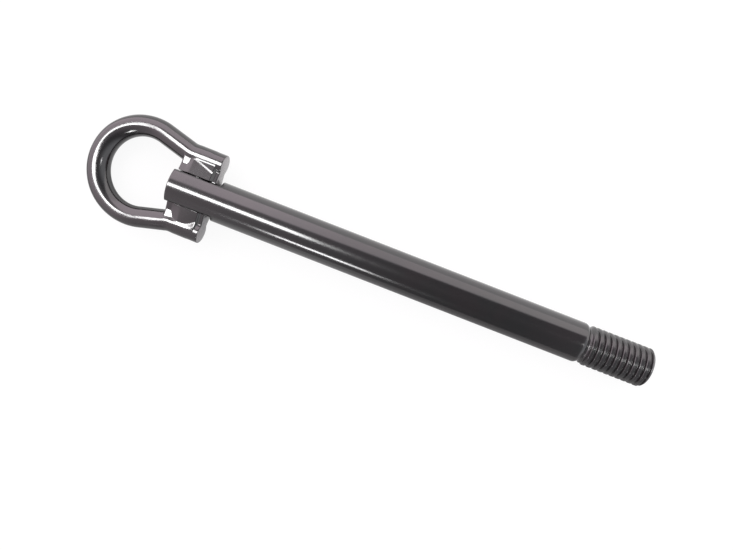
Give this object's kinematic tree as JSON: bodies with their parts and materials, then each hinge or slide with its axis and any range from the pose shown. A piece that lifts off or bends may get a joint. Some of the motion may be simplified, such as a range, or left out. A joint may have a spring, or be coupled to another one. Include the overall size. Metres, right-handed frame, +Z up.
{
  "type": "tow eye",
  "caption": "Folding tow eye: a round steel shank with a coarse screw thread at one end and a forged ring that swings on a cross pin at the other.",
  "frame": {"origin": "on the shank's axis, where the full thread begins behind its undercut", "axes": "+X along the shank towards the thread's tip, Y along the pivot pin, +Z up as the part lies on a table"},
  "size_m": [0.2911, 0.0548, 0.02],
  "materials": {
    "shank_coat": "glossy black dip coat with a warm tint, over turned steel",
    "ring_coat": "glossy black dip coat over a forged surface, with soft hollows",
    "pin_coat": "glossy black dip coat over a turned pin"
  },
  "bodies": {
    "shank": {"shank": "shank_coat"},
    "ring": {"towing_ring": "ring_coat", "pivot_pin": "pin_coat"}
  },
  "joints": [
    {"name": "ring_swing", "type": "hinge", "parent": "shank", "child": "ring", "pos_m": [-0.2042, 0, 0], "axis": [0, 1, 0], "range_deg": [-154, 165]}
  ]
}
